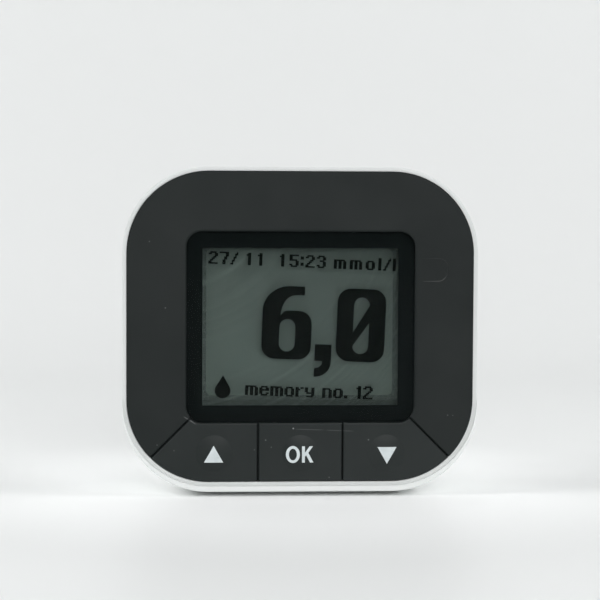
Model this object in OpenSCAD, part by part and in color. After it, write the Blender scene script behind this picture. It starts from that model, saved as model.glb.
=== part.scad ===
// Blood glucose meter, free-standing, with three keys and a sliding battery door.
// It is drawn lying on its back: X to the right, Y up the face, Z towards the reader.
// stand() then turns it upright, so +Z is up and the face looks along -Y.
// The origin is on the ground, below the middle of the case. Sizes are in millimetres.

/* [Case] */
// Width of the dark front face
face_w = 67.8; // [66.8:0.2:72]
// Height of the dark front face
face_h = 60.7; // [60.3:0.1:64]
// Corner radius of the dark front face
face_r = 16; // [14:0.5:17]
// Rounding of the front face's outer edge
face_edge = 0.8; // [0.3:0.1:1.2]
// White rim that shows round the face
rim_w = 0.9; // [0.7:0.1:1.4]
// How far the rim's front edge lies behind the face
rim_sink = 0.5; // [0.2:0.1:0.9]
// How far the white sole reaches below the rim
sole_drop = 1.1; // [0.5:0.1:2]
// How far the sole stands out in front of the rim
sole_out = 0.5; // [0.1:0.1:0.6]
// Height of the foot under the case
foot_h = 0.9; // [0.3:0.1:1.2]
// Distance of the foot's ends from the case's sides
foot_in = 17.8; // [17:0.2:20]
// Depth of the foot, from front to back
foot_d = 12; // [10:0.5:12.5]
// Overall depth, from the key domes to the back
body_d = 23; // [22.9:0.1:26]
// Rounding of the back edges
back_round = 5; // [3:0.5:5.5]
// Width of the ledge that the front cover lands on
ledge_w = 1.1; // [0.8:0.1:1.4]
// Thickness of the back wall and of the battery door
back_wall = 1.5; // [1.4:0.1:1.6]
// Depth of the front cover, from its face to the ledge
cover_d = 3; // [2.9:0.1:3.3]
// Distance of the front cover's top tabs from the middle
tab_x = 14; // [10:1:15]
// Width of those tabs
tab_w = 6; // [4:0.5:8]
// Thickness of those tabs
tab_t = 1; // [0.8:0.1:1.2]
// How far the tabs' barbs reach into the top wall
tab_reach = 0.6; // [0.4:0.1:0.8]

/* [Display] */
// Width of the window lens
lens_w = 44.6; // [44.4:0.2:46]
// Height of the window lens
lens_h = 37.2; // [37:0.2:38]
// Corner radius of the lens
lens_r = 3; // [2:0.5:4]
// Thickness of the lens
lens_t = 0.9; // [0.7:0.1:1]
// How far the lens lies behind the face
lens_sink = 0.3; // [0.1:0.1:0.4]
// Width of the rounded lip round the window
lip_w = 0.5; // [0.2:0.1:0.8]
// Thickness of the printed border behind the lens
border_t = 0.1; // [0.05:0.05:0.15]
// Width of the display that shows inside the border
view_w = 38.4; // [36:0.1:38.5]
// Height of the display that shows inside the border
view_h = 30.9; // [29:0.1:31]
// Thickness of each of the display's two glass plates
glass_t = 0.8; // [0.6:0.1:0.9]
// Thickness of the reflector sheet behind the glass
reflector_t = 0.3; // [0.2:0.1:0.4]

/* [Keys] */
// Width of the middle key, groove centre to groove centre
ok_w = 16.6; // [14:0.2:20]
// Width of the grooves round the keys
groove_w = 0.2; // [0.15:0.05:0.6]
// Width of the bevels along the grooves
groove_bevel = 0.25; // [0.1:0.05:0.3]
// Thickness of a key cap
key_t = 1.6; // [1.4:0.1:1.7]
// How far a key goes in
key_travel = 0.5; // [0.3:0.1:0.6]
// Distance of the outer keys' domes from the face's side edges
key_in = 17; // [16:0.1:18]
// Height of the domes above the face's lower edge
key_y = 5.6; // [4.6:0.1:6]
// Radius of the dome on each key
dome_r = 3.6; // [2.5:0.1:4]
// Height of the dome on each key
dome_h = 0.4; // [0.2:0.1:0.6]
// Radius of the stem behind each key
stem_r = 1.5; // [1.2:0.1:1.8]
// Width of the hooks that hold the keys in
hook_w = 2; // [1.5:0.1:2.5]
// Thickness of the hooks' legs
hook_t = 0.8; // [0.6:0.1:1]
// How far the hooks' barbs reach out
barb_reach = 0.5; // [0.3:0.1:0.6]

/* [Battery bay] */
// Diameter of a size AAA cell
cell_d = 10.5; // [10:0.1:10.6]
// Length of a size AAA cell, with its nub
cell_l = 44.5; // [44:0.1:44.8]
// Radius of the cell's nub
nub_r = 1.9; // [1.5:0.1:2.2]
// Height of the cell's nub
nub_h = 1; // [0.8:0.1:1.3]
// Gap between the two cells
cell_gap = 0.3; // [0.2:0.1:0.6]
// Room between the upper contacts and the case's round corners
cell_drop = 1.2; // [1:0.05:2]
// Wall of the bay
bay_wall = 1.2; // [1:0.1:1.4]
// Floor of the bay
bay_floor = 1; // [0.8:0.1:1.1]
// Thickness of the sheet metal contacts
contact_t = 0.3; // [0.2:0.05:0.4]
// Width of the contacts
contact_w = 8; // [6:0.5:8.5]
// Width of the contacts' sprung bows
bow_w = 5; // [3:0.5:6]
// Height of the contact's dimple for the nub
dimple_h = 0.6; // [0.4:0.1:0.8]
// Radius of the sprung bow at the flat end of a cell
bow_r = 3; // [2.6:0.1:3.2]
// Width of the battery door
door_w = 52; // [51.6:0.2:53]
// Depth of the door's upper end
door_end = 6.5; // [5.5:0.1:7]
// How far the door's tongues reach into their grooves
tongue_w = 1; // [0.6:0.1:1.2]
// Thickness of the tongues
tongue_t = 0.6; // [0.4:0.1:0.7]
// Length of the tongues
tongue_l = 9; // [6:0.5:12]
// Number of finger grooves on the door
grip_count = 5; // [3:1:6]
// Length of the finger grooves
grip_l = 14; // [8:1:20]

/* [Board] */
// Thickness of the circuit board
board_t = 1; // [0.8:0.1:1.1]
// Depth from the face to the front of the board
board_sink = 5.6; // [5.5:0.1:5.7]
// Gap from the board's edge to the case
board_gap = 1; // [0.8:0.1:2]
// Side of a key switch's body
switch_w = 4.6; // [4:0.1:6]
// Height of a key switch's body
switch_h = 1.5; // [1.3:0.1:1.6]
// Radius of a key switch's button
button_r = 1.1; // [0.8:0.1:1.3]
// Radius of the buzzer
buzzer_r = 6.2; // [4:0.2:6.5]
// Height of the buzzer
buzzer_h = 3; // [2:0.5:5]

/* [Strip port] */
// Height of the port's middle above the face's lower edge
port_y = 41.2; // [39:0.2:43]
// Width of the slot that takes a test strip
slot_w = 6.4; // [5:0.1:7]
// Thickness of the slot that takes a test strip
slot_t = 0.8; // [0.6:0.1:1]
// Width of the port's insert in the side wall
port_w = 8.4; // [8:0.1:10]
// Thickness of the port's insert in the side wall
port_t = 2.6; // [2.4:0.1:3]
// Height of the strip connector on the board
connector_h = 2.4; // [2.2:0.1:2.5]
// Length of the strip connector along the board
connector_l = 9; // [8:0.5:10]
// Number of contact fingers in the connector
finger_count = 5; // [3:1:6]

/* [Screws] */
// Radius of a case screw's shank
screw_r = 0.9; // [0.7:0.1:1]
// Radius of a case screw's head
head_r = 1.8; // [1.5:0.1:1.9]
// Height of a case screw's head
head_h = 1.2; // [1:0.1:1.5]
// Length of a case screw's shank
screw_l = 8.6; // [8:0.2:9]
// Radius of the posts that the screws pass through
post_r = 2.9; // [2.8:0.1:3.2]
// Radius of the bosses behind the front cover
boss_r = 2.3; // [2:0.1:2.6]
// Distance of the upper screws from the face's side edges
upper_screw_in = 6.7; // [6.5:0.1:7.5]
// Height of the upper screws above the face's lower edge
upper_screw_y = 29.6; // [26:0.2:31]
// Distance of the lower screws from the face's side edges
lower_screw_in = 9.9; // [9.5:0.1:11]
// Height of the lower screws above the face's lower edge
lower_screw_y = 6.6; // [6.2:0.1:8]

/* [Fits] */
// Gap between the front cover and the white rim
case_fit = 0.08; // [0.05:0.01:0.15]
// Gap beside pieces that slide, such as stems and tongues
slide_fit = 0.12; // [0.08:0.01:0.15]
// Gap round the battery door
door_fit = 0.15; // [0.1:0.05:0.2]
// Gap round pieces that are dropped into a seat
seat_fit = 0.1; // [0.05:0.05:0.15]

/* [Hidden] */
$fn = 96;

// Outline of the case
body_w = face_w + 2 * rim_w;
case_h = face_h + 2 * rim_w + sole_drop;
body_h = case_h + foot_h;
body_r = face_r + rim_w;
face_low = foot_h + rim_w + sole_drop;
face_cy = face_low + face_h / 2;

// Depths, from the front face towards the back
face_z = body_d / 2 - dome_h;
back_z = -body_d / 2;
rim_z = face_z - rim_sink;
sole_z = rim_z + sole_out;
ledge_z = face_z - cover_d;
inner_back_z = back_z + back_wall;
rim_edge = 0.35;
sole_edge = 0.3;
foot_r = 3;

// Front cover's walls: its plate, its outer wall, and round the window and the keys
cover_plate_t = 1.8;
cover_wall = 1.6;
window_wall = 1.2;
well_wall = 2;

// Display stack
lens_front_z = face_z - lens_sink;
lens_back_z = lens_front_z - lens_t;
seat_z = lens_back_z - border_t;
seat_t = 0.7;
view_room = 0.6;
glass_margin = 1.2;
glass_drop = 1;
glass_w = view_w + 2 * glass_margin;
glass_h = view_h + 2 * glass_margin + glass_drop;
glass_cy = face_cy - glass_drop / 2;
glass_z = seat_z - seat_t - seat_fit;
rear_glass_z = glass_z - glass_t;
reflector_z = rear_glass_z - glass_t;
frame_top_z = glass_z - seat_fit;
frame_wall = 0.6;
frame_w = glass_w + 2 * seat_fit + 2 * frame_wall;
frame_h = glass_h + 2 * seat_fit + 2 * frame_wall;
frame_r = 1;
strip_h = 1.4;
strip_w = glass_w - 5;
glass_low = glass_cy - glass_h / 2;
glass_step = 0.3;
reflector_in = 0.5;

// Top tabs
tab_l = 2.2;
tab_barb = 0.8;
tab_low_z = ledge_z - tab_l;
tab_top = face_low + face_h - ledge_w - slide_fit;

// Keys
key_x = face_w / 2 - key_in;
key_cy = face_low + key_y;
key_back_z = face_z - key_t;
well_z = key_back_z - key_travel - seat_fit;
window_gap = 0.25;
stem_end_z = face_z - board_sink + switch_h + key_travel + seat_fit;
button_sunk = 0.5;
button_l = key_travel + seat_fit + button_sunk;
hook_rise = 3.6;
barb_h = 0.8;
hook_y = key_cy + hook_rise;
hook_end_z = ledge_z - seat_fit - barb_h;
groove_x = ok_w / 2;
corner_x = lens_w / 2 - lens_r;
corner_y = face_cy - lens_h / 2 + lens_r;

// Reach of cutters that go right through
beyond = 60;

// Board and what it carries
board_z = face_z - board_sink;
board_back_z = board_z - board_t;
cavity_w = face_w - 2 * ledge_w;
cavity_h = face_h - 2 * ledge_w;
cavity_r = face_r - ledge_w;
board_w = cavity_w - 2 * board_gap;
board_h = cavity_h - 2 * board_gap;
board_r = cavity_r - board_gap;

// Battery bay and its door
cell_r = cell_d / 2;
cell_room = 0.15;
cell_z = inner_back_z + cell_room + cell_r;
bay_floor_z = cell_z + cell_r + cell_room;
bay_l = cell_l + 2 * contact_t + dimple_h + bow_r;
bay_half = bay_l / 2;
cell_shift = (bow_r - dimple_h) / 2;
corner_out = max(0, bay_half - cavity_w / 2 + cavity_r);
corner_top_y = face_cy + cavity_h / 2 - cavity_r + sqrt(cavity_r * cavity_r - corner_out * corner_out);
upper_cell_y = corner_top_y - cell_drop - contact_w / 2;
lower_cell_y = upper_cell_y - cell_d - cell_gap;
bay_low = lower_cell_y - cell_r - cell_room;
door_half = door_w / 2;
door_low = bay_low - bay_wall - 0.05;
door_front_z = back_z + door_end;
rail_half = door_half + tongue_w + 1;
rail_depth = 1.4;
tail_w = 2;
tongue_low = door_low + 0.6;
grip_low = door_low + 4;
grip_pitch = 1.6;
grip_w = 0.8;
grip_depth = 0.35;

// Chip on the back of the board
chip_w = 9;
chip_h = 1.4;
chip_x = -board_w * 0.173;
chip_y = face_cy - board_h * 0.22;
chip_leads = 11;
lead_pitch = 0.75;
lead_w = 0.34;
lead_l = 1;
lead_t = 0.3;

// Small parts on the back of the board
capacitor = [1.6, 0.8, 0.7];
capacitor_pitch = 3.4;
capacitor_x = -board_w * 0.3;
top_row_y = face_cy - board_h * 0.05;
resistor = [1.2, 2, 0.9];
resistor_pitch = 3;
resistor_x = -board_w * 0.315;
resistor_y = face_cy - board_h * 0.325;
driver = [4, 3.2, 1.1];
driver_x = board_w * 0.047;
crystal = [8, 3, 1.6];
crystal_y = face_cy - board_h * 0.36;
buzzer_x = board_w * 0.205;
sound_hole_r = 1;
sound_hole_h = 0.8;

// Strip port
port_cy = face_low + port_y;
slot_z = board_back_z - connector_h / 2;
slot_low_z = slot_z - slot_t / 2;
slot_high_z = slot_z + slot_t / 2;
connector_end = board_w / 2 - 0.3;
connector_start = connector_end - connector_l;
connector_wall = 0.9;
finger_w = 0.4;
finger_t = 0.15;
port_inner_x = board_w / 2 + seat_fit;
port_outer_x = body_w / 2 - 0.2;

// Screws
post_head = 5.4;
post_top_z = board_back_z - seat_fit;
screw_seat_z = post_top_z - post_head;
neck_r = screw_r + 0.6;
boss_clear = 0.3;
hole_deeper = 0.3;
upper_screw_x = face_w / 2 - upper_screw_in;
lower_screw_x = face_w / 2 - lower_screw_in;
screw_spots = [
    for (side = [-1, 1]) [side * upper_screw_x, face_low + upper_screw_y],
    for (side = [-1, 1]) [side * lower_screw_x, face_low + lower_screw_y]
];

// Turns a piece from lying on its back to standing
module stand() {
    rotate([90, 0, 0]) children();
}

// Rectangle with round corners, centred
module round_rect(w, h, r) {
    square([w - 2 * r, h], center = true);
    square([w, h - 2 * r], center = true);
    for (sx = [-1, 1], sy = [-1, 1])
        translate([sx * (w / 2 - r), sy * (h / 2 - r)]) circle(r);
}

// Flat plate with round corners, between two depths
module plate(w, h, r, low, high) {
    translate([0, 0, low]) linear_extrude(high - low) round_rect(w, h, r);
}

// Box between two corners
module box(low, high) {
    translate(low) cube(high - low);
}

// Section of a block's side: flat wall with a rounded lower and upper edge
module side_profile(reach, low, high, low_round, high_round) {
    translate([0, low + low_round]) square([reach, high - low - low_round - high_round]);
    translate([0, low]) square([reach - low_round, high - low]);
    translate([0, low + low_round]) square([reach - high_round, high - low - low_round]);
    if (low_round > 0) translate([reach - low_round, low + low_round]) circle(low_round);
    if (high_round > 0) translate([reach - high_round, high - high_round]) circle(high_round);
}

// Block with round corners whose sides all have the section that is its child
module swept_block(w, h, r, low, high) {
    x = w / 2 - r;
    y = h / 2 - r;
    box([-x, -y, low], [x, y, high]);
    for (side = [0:3]) {
        across = side % 2 == 0 ? x : y;
        along = side % 2 == 0 ? y : x;
        rotate([0, 0, 90 * side]) translate([across, along, 0]) {
            rotate_extrude(angle = 90) children();
            rotate([90, 0, 0]) linear_extrude(2 * along) children();
        }
    }
}

// Block with round corners whose lower and upper edges are rounded all the way round
module soft_block(w, h, r, low, high, low_round, high_round) {
    swept_block(w, h, r, low, high) side_profile(r, low, high, low_round, high_round);
}

// Block on the outline of the front face, grown or shrunk all round
module face_block(grow, low, high, low_round, high_round) {
    translate([0, face_cy, 0])
        soft_block(face_w + 2 * grow, face_h + 2 * grow, face_r + grow,
            low, high, low_round, high_round);
}

// Block on the outline of the whole case, shrunk all round
module body_block(inset, low, high, low_round, high_round) {
    translate([0, foot_h + case_h / 2, 0])
        soft_block(body_w - 2 * inset, case_h - 2 * inset, body_r - inset,
            low, high, low_round, high_round);
}

// Outline of the window, grown all round
module window_outline(grow) {
    translate([0, face_cy]) round_rect(lens_w + 2 * grow, lens_h + 2 * grow, lens_r + grow);
}

// Cutter that gives the window's edge its lip, on the front cover and on the keys
module window_lip() {
    lip_low = face_z - lip_w;
    curve = [for (a = [0:22.5:90]) [lens_r + lip_w * (1 - cos(a)), lip_low + lip_w * sin(a)]];
    translate([0, face_cy, 0]) swept_block(lens_w, lens_h, lens_r, lip_low, face_z + 1)
        polygon(concat([[0, lip_low]], curve, [[lens_r + lip_w, face_z + 1], [0, face_z + 1]]));
}

// V-shaped cutter along one groove, from a point of the window outwards
module groove_cut(from, turn) {
    half = groove_w / 2;
    translate([from.x, from.y, face_z]) rotate([0, 0, turn]) rotate([90, 0, 90]) linear_extrude(beyond)
        polygon([
            [-half, -groove_bevel], [half, -groove_bevel], [half + groove_bevel, 0],
            [half + groove_bevel, 1], [-half - groove_bevel, 1], [-half - groove_bevel, 0]
        ]);
}

// Bevels along the four grooves round the keys
module groove_bevels() {
    for (side = [-1, 1]) {
        groove_cut([side * groove_x, corner_y], -90);
        groove_cut([side * corner_x, corner_y], side > 0 ? -45 : -135);
    }
}

// Field below the window that the three keys fill, out to a line at 45 degrees on each side.
// It is grown across those lines, and keeps a gap to the window.
module key_field(grow, gap) {
    edge_x = corner_x + grow * sqrt(2);
    difference() {
        polygon([
            [-edge_x, corner_y], [edge_x, corner_y],
            [edge_x + beyond, corner_y - beyond], [-edge_x - beyond, corner_y - beyond]
        ]);
        window_outline(gap);
    }
}

// One key's share of that field, between two upright lines
module key_share(left, right) {
    intersection() {
        key_field(-groove_w / 2, window_gap);
        translate([left + groove_w / 2, -beyond]) square([right - left - groove_w, 2 * beyond]);
    }
}

// Hook behind a key: a leg through the well's floor with a barb beneath it
module key_hook(x, out) {
    leg = out > 0 ? 0 : -hook_t;
    barb = out > 0 ? 0 : -hook_t - barb_reach;
    translate([x, hook_y - hook_w / 2, 0]) {
        box([leg, 0, hook_end_z], [leg + hook_t, hook_w, key_back_z + 0.1]);
        box([barb, 0, hook_end_z], [barb + hook_t + barb_reach, hook_w, ledge_z - seat_fit]);
    }
}

// Key cap with its dome, stem and two hooks
module key_cap(x, left, right, hook_left, hook_right) {
    dome_sphere = (dome_r * dome_r + dome_h * dome_h) / (2 * dome_h);
    difference() {
        intersection() {
            face_block(-slide_fit, key_back_z, face_z, 0, face_edge);
            translate([0, 0, key_back_z]) linear_extrude(key_t) key_share(left, right);
        }
        groove_bevels();
        window_lip();
    }
    translate([x, key_cy, face_z]) rotate_extrude() intersection() {
        translate([0, dome_h - dome_sphere]) circle(dome_sphere);
        translate([0, -key_t / 2]) square([dome_r, key_t]);
    }
    translate([x, key_cy, stem_end_z]) cylinder(r = stem_r, h = key_back_z - stem_end_z + 0.1);
    key_hook(hook_left, -1);
    key_hook(hook_right, 1);
}

// Moving button of a key switch, under a key's stem
module switch_button(x) {
    translate([x, key_cy, stem_end_z - button_l]) cylinder(r = button_r, h = button_l);
}

// Places where the keys' hooks go through the well's floor, left and right of each key
outer_hook_x = lower_screw_x - boss_r - boss_clear - hook_t - barb_reach;
inner_hook_x = (groove_x + key_x - stem_r) / 2;
ok_hook_x = groove_x * 0.6;
up_hooks = [-outer_hook_x, -inner_hook_x];
ok_hooks = [-ok_hook_x, ok_hook_x];
down_hooks = [inner_hook_x, outer_hook_x];

// Slot for one hook in the well's floor
module hook_slot(x, out) {
    low = out > 0 ? -slide_fit : -hook_t - slide_fit;
    translate([x, hook_y - hook_w / 2 - slide_fit, 0])
        box([low, 0, ledge_z - 1], [low + hook_t + 2 * slide_fit, hook_w + 2 * slide_fit, well_z + 1]);
}

// Opening and stepped seat for the lens, and the pocket for the display unit behind it
module window_cuts() {
    translate([0, 0, seat_z]) linear_extrude(beyond) window_outline(seat_fit / 2);
    translate([0, face_cy, 0])
        plate(view_w + 2 * view_room, view_h + 2 * view_room, 1, ledge_z - 1, face_z + 1);
    translate([0, glass_cy, 0])
        plate(frame_w + 3 * seat_fit, frame_h + 3 * seat_fit, frame_r, ledge_z - 1, seat_z - seat_t);
}

// Hollow from behind that leaves the front cover an even wall beside the window
module cover_hollows() {
    translate([0, 0, ledge_z - 1]) linear_extrude(cover_d - cover_plate_t + 1) difference() {
        translate([0, face_cy])
            round_rect(face_w - 2 * cover_wall, face_h - 2 * cover_wall, face_r - cover_wall);
        window_outline(window_wall);
        key_field(well_wall, 0);
        translate([-beyond, -beyond]) square([2 * beyond, beyond + corner_y]);
    }
}

// Boss behind the front cover: a shoulder for the board and a neck through it
module cover_boss(spot) {
    translate([spot.x, spot.y, board_z]) cylinder(r = boss_r, h = ledge_z - board_z + 0.2);
    translate([spot.x, spot.y, post_top_z]) cylinder(r = neck_r, h = board_z - post_top_z + 0.1);
}

module front_cover() {
    color([0.17, 0.18, 0.18]) stand() difference() {
        union() {
            difference() {
                face_block(0, ledge_z, face_z, 0, face_edge);
                window_cuts();
                cover_hollows();
                translate([0, 0, well_z]) linear_extrude(beyond) key_field(groove_w / 2, 0);
                groove_bevels();
                window_lip();
            }
            for (side = [-1, 1]) top_tab(side);
            for (spot = screw_spots) cover_boss(spot);
            for (side = [-1, 1]) boss_root(side);
        }
        for (spot = screw_spots) translate([spot.x, spot.y, board_back_z - 1])
            cylinder(r = screw_r, h = ledge_z + hole_deeper - board_back_z + 1);
        for (x = [-key_x, 0, key_x]) translate([x, key_cy, ledge_z - 1])
            cylinder(r = stem_r + slide_fit, h = well_z - ledge_z + 2);
        for (hooks = [up_hooks, ok_hooks, down_hooks]) {
            hook_slot(hooks[0], -1);
            hook_slot(hooks[1], 1);
        }
    }
}

// Tab at the top of the front cover whose barb sits in a pocket of the rear cover
module top_tab(side) {
    translate([side * tab_x - tab_w / 2, 0, 0]) {
        box([0, tab_top - tab_t, tab_low_z], [tab_w, tab_top, ledge_z + 0.5]);
        box([0, tab_top - tab_t, tab_low_z], [tab_w, tab_top + tab_reach, tab_low_z + tab_barb]);
    }
}

// Pocket in the rear cover's top wall for one barb
module tab_pocket(side) {
    half = tab_w / 2 + slide_fit;
    box([side * tab_x - half, tab_top - 1, tab_low_z - slide_fit],
        [side * tab_x + half, tab_top + tab_reach + slide_fit, tab_low_z + tab_barb + seat_fit]);
}

// Root that ties an upper boss to the cover's plate across the hollow
module boss_root(side) {
    translate([side * upper_screw_x, face_low + upper_screw_y, ledge_z])
        cylinder(r = boss_r, h = cover_d - cover_plate_t + 0.1);
}

// Solid block inside the rear cover that the bay is cut from, with thicker rims for the rails
module bay_block() {
    wall_half = bay_half + bay_wall;
    box([-wall_half, bay_low - bay_wall, back_z], [wall_half, body_h, bay_floor_z + bay_floor]);
    box([-rail_half, bay_low - bay_wall, back_z], [rail_half, body_h, inner_back_z + rail_depth]);
}

// Ridge on the bay's floor that keeps the cells apart
module bay_ridge() {
    ridge_l = cell_l * 0.8;
    ridge_y = (upper_cell_y + lower_cell_y) / 2;
    ridge_h = cell_r * 0.38;
    translate([-ridge_l / 2, ridge_y, bay_floor_z]) rotate([90, 0, 90]) linear_extrude(ridge_l)
        polygon([[-1.5, 0.1], [-0.3, -ridge_h], [0.3, -ridge_h], [1.5, 0.1]]);
}

// Room for the two cells, open to the back and, under the door, to the top
module bay_space() {
    intersection() {
        box([-bay_half, bay_low, back_z - 1], [bay_half, body_h + 1, bay_floor_z]);
        union() {
            face_block(-ledge_w, back_z - 1, bay_floor_z + 1, 0, 0);
            box([-beyond, 0, back_z - 2], [beyond, body_h + 2, door_front_z]);
        }
    }
}

// Outer layer of the case under the door's outline, made deeper and wider by a gap.
// Its outside follows the case, or reaches clear past it to cut the door's space.
module door_layer(gap, outset) {
    intersection() {
        difference() {
            body_block(-outset, back_z - outset, door_front_z + 5, outset > 0 ? 0 : back_round, 0);
            body_block(back_wall + gap, inner_back_z + gap, door_front_z + 6, back_round - back_wall, 0);
        }
        box([-door_half - gap, door_low - gap, back_z - 2], [door_half + gap, body_h + 2, door_front_z + gap]);
    }
}

// Grooves for the door's two tongues, open at the top
module tongue_grooves() {
    reach = door_half + tongue_w + door_fit;
    box([-reach, door_low, inner_back_z - tongue_t - slide_fit], [reach, body_h + 2, inner_back_z + slide_fit]);
}

// Post inside the rear cover for one screw
module post(spot) {
    translate([spot.x, spot.y, back_z]) cylinder(r = post_r, h = post_top_z - back_z);
}

// Deep hole from the back for one screw and its driver
module screw_hole(spot) {
    translate([spot.x, spot.y, back_z - 1]) cylinder(r = head_r + 0.3, h = screw_seat_z - back_z + 1);
    translate([spot.x, spot.y, back_z]) cylinder(r = screw_r + 0.2, h = board_z - back_z);
}

// Low foot under the case, set back so that the sole's front edge stays clear of the table
module foot() {
    rotate([-90, 0, 0]) linear_extrude(foot_h + 0.5)
        round_rect(body_w - 2 * foot_in, foot_d, foot_r);
}

// Slots in the bay's floor for the tails of the two left contacts
module tail_slots() {
    half = tail_w / 2 + seat_fit;
    for (y = [upper_cell_y, lower_cell_y])
        box([-bay_half - seat_fit, y - half, bay_floor_z - 1],
            [-bay_half + contact_t + seat_fit, y + half, bay_floor_z + bay_floor + 1]);
}

module rear_cover() {
    color([0.93, 0.94, 0.93]) stand() difference() {
        union() {
            difference() {
                body_block(0, back_z, sole_z, back_round, sole_edge);
                face_block(rim_w, rim_z - rim_edge, sole_z + 1, 0, 0);
            }
            face_block(rim_w, rim_z - 2 * rim_edge, rim_z, 0, rim_edge);
            foot();
        }
        translate([0, face_cy, 0])
            plate(face_w + 2 * case_fit, face_h + 2 * case_fit, face_r + case_fit, ledge_z, face_z + 1);
        difference() {
            face_block(-ledge_w, inner_back_z, ledge_z + 1, back_round - back_wall, 0);
            bay_block();
            for (spot = screw_spots) post(spot);
        }
        difference() {
            bay_space();
            bay_ridge();
        }
        door_layer(door_fit, 1);
        tongue_grooves();
        for (spot = screw_spots) screw_hole(spot);
        for (side = [-1, 1]) tab_pocket(side);
        tail_slots();
        translate([0, port_cy, slot_z]) rotate([0, 90, 0])
            linear_extrude(beyond) round_rect(port_t + 2 * seat_fit, port_w + 2 * seat_fit, port_t / 2);
    }
}

module battery_door() {
    color([0.93, 0.94, 0.93]) stand() difference() {
        union() {
            door_layer(0, 0);
            for (side = [-1, 1]) mirror([side < 0 ? 1 : 0, 0, 0])
                box([door_half - 1, tongue_low, inner_back_z - tongue_t],
                    [door_half + tongue_w, tongue_low + tongue_l, inner_back_z]);
        }
        for (i = [0:grip_count - 1]) translate([-grip_l / 2, grip_low + i * grip_pitch, back_z])
            box([0, 0, -1], [grip_l, grip_w, grip_depth]);
    }
}

module up_key() {
    color([0.19, 0.2, 0.2]) stand() key_cap(-key_x, -beyond, -groove_x, up_hooks[0], up_hooks[1]);
}

module ok_key() {
    color([0.19, 0.2, 0.2]) stand() key_cap(0, -groove_x, groove_x, ok_hooks[0], ok_hooks[1]);
}

module down_key() {
    color([0.19, 0.2, 0.2]) stand() key_cap(key_x, groove_x, beyond, down_hooks[0], down_hooks[1]);
}

module up_switch_button() {
    color([0.1, 0.1, 0.1]) stand() switch_button(-key_x);
}

module ok_switch_button() {
    color([0.1, 0.1, 0.1]) stand() switch_button(0);
}

module down_switch_button() {
    color([0.1, 0.1, 0.1]) stand() switch_button(key_x);
}

module key_switches() {
    color([0.75, 0.75, 0.73]) stand() for (x = [-key_x, 0, key_x])
        translate([x, key_cy, 0]) difference() {
            box([-switch_w / 2, -switch_w / 2, board_z], [switch_w / 2, switch_w / 2, board_z + switch_h]);
            translate([0, 0, board_z + 0.3]) cylinder(r = button_r + slide_fit, h = switch_h);
        }
}

module display_lens() {
    color([0.75, 0.8, 0.8, 0.35]) stand()
        translate([0, 0, lens_back_z]) linear_extrude(lens_t) window_outline(0);
}

module lens_border() {
    color([0.07, 0.08, 0.08]) stand() translate([0, 0, seat_z]) linear_extrude(border_t) difference() {
        window_outline(0);
        translate([0, face_cy]) square([view_w, view_h], center = true);
    }
}

module lcd_glass() {
    color([0.32, 0.37, 0.34]) stand() {
        translate([0, glass_cy, 0]) plate(glass_w, glass_h, 0.3, rear_glass_z, glass_z);
        box([-glass_w / 2, glass_low + strip_h + glass_step, reflector_z],
            [glass_w / 2, glass_low + glass_h, rear_glass_z]);
    }
}

module lcd_reflector() {
    color([0.6, 0.62, 0.58]) stand()
        box([-glass_w / 2 + reflector_in, glass_low + strip_h + glass_step + 0.1, reflector_z - reflector_t],
            [glass_w / 2 - reflector_in, glass_low + glass_h - reflector_in, reflector_z]);
}

module lcd_frame() {
    color([0.85, 0.86, 0.84]) stand() translate([0, glass_cy, 0]) difference() {
        plate(frame_w, frame_h, frame_r, board_z, frame_top_z);
        plate(glass_w + 2 * seat_fit, glass_h + 2 * seat_fit, 0.2, reflector_z - reflector_t, frame_top_z + 1);
        translate([0, strip_h / 2 + 0.5, 0])
            plate(glass_w - 4, glass_h - strip_h - 4, 1, board_z - 1, frame_top_z);
        box([-strip_w / 2 - seat_fit, -glass_h / 2, board_z - 1],
            [strip_w / 2 + seat_fit, -glass_h / 2 + strip_h + 2 * seat_fit, frame_top_z]);
    }
}

module lcd_connector() {
    color([0.85, 0.55, 0.6]) stand()
        box([-strip_w / 2, glass_low + seat_fit, board_z],
            [strip_w / 2, glass_low + seat_fit + strip_h, rear_glass_z]);
}

module main_board() {
    color([0.08, 0.35, 0.2]) stand() difference() {
        translate([0, face_cy, 0]) plate(board_w, board_h, board_r, board_back_z, board_z);
        for (spot = screw_spots) translate([spot.x, spot.y, board_back_z - 1])
            cylinder(r = neck_r + seat_fit, h = board_t + 2);
    }
}

module control_chip() {
    color([0.1, 0.1, 0.11]) stand() translate([chip_x, chip_y, board_back_z]) {
        box([-chip_w / 2, -chip_w / 2, -chip_h], [chip_w / 2, chip_w / 2, -0.1]);
        for (side = [0:3], i = [0:chip_leads - 1])
            rotate([0, 0, 90 * side]) translate([chip_w / 2, (i - (chip_leads - 1) / 2) * lead_pitch, 0])
                box([-0.1, -lead_w / 2, -lead_t], [lead_l, lead_w / 2, 0]);
    }
}

// Small box-shaped part on the back of the board
module board_part(x, y, size) {
    translate([x - size.x / 2, y - size.y / 2, board_back_z - size.z]) cube(size);
}

module board_parts() {
    color([0.6, 0.5, 0.35]) stand() {
        for (i = [0:5]) board_part(capacitor_x + i * capacitor_pitch, top_row_y, capacitor);
        for (i = [0:3]) board_part(resistor_x, resistor_y + i * resistor_pitch, resistor);
        board_part(driver_x, top_row_y, driver);
        translate([0, crystal_y, board_back_z - crystal.z]) linear_extrude(crystal.z)
            round_rect(crystal.x, crystal.y, crystal.y * 0.45);
    }
}

module buzzer() {
    color([0.12, 0.12, 0.13]) stand() translate([buzzer_x, chip_y, board_back_z - buzzer_h]) difference() {
        cylinder(r = buzzer_r, h = buzzer_h);
        translate([0, 0, -1]) cylinder(r = sound_hole_r, h = 1 + sound_hole_h);
    }
}

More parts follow.
